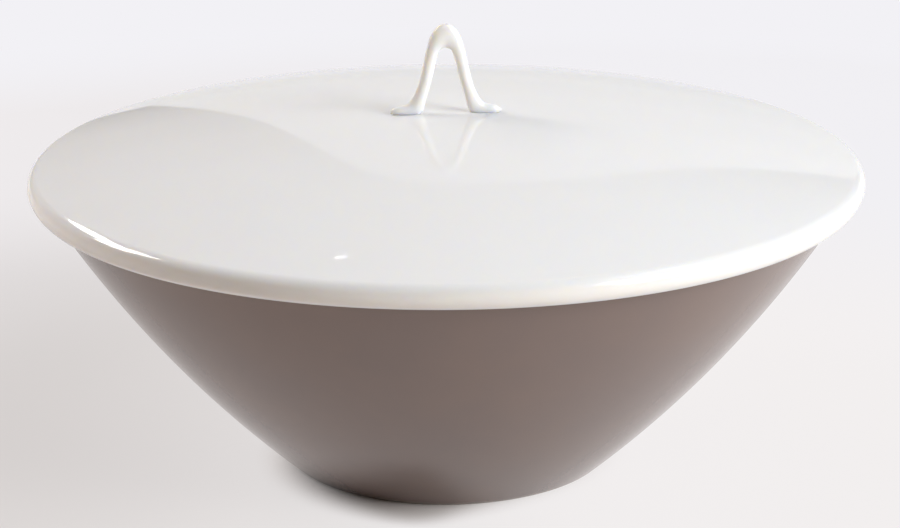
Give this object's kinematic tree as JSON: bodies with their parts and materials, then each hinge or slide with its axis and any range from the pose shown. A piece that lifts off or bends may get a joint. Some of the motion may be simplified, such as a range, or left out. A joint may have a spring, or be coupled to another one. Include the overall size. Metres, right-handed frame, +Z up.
{
  "type": "covered vegetable dish",
  "caption": "Covered vegetable dish: a wide, gently curved conical bowl on a small foot, with a shallow domed lid that overhangs it and lifts off by a narrow loop handle.",
  "frame": {"origin": "centre of the foot ring, on the surface that the dish stands on", "axes": "+Z up along the axis that bowl and lid are turned about, +X along the handle's loop from foot to foot"},
  "size_m": [0.26, 0.26, 0.1391],
  "materials": {
    "bowl_glaze": "satin taupe glaze outside, glossy white glaze inside",
    "lid_glaze": "glossy white glaze",
    "handle_glaze": "glossy white glaze"
  },
  "bodies": {
    "bowl": {"bowl": "bowl_glaze"},
    "lid": {"lid": "lid_glaze", "lid_handle": "handle_glaze"}
  },
  "joints": [
    {"name": "lid_lift", "type": "slide", "parent": "bowl", "child": "lid", "axis": [0, 0, 1], "range_m": [0, 0.15]}
  ]
}
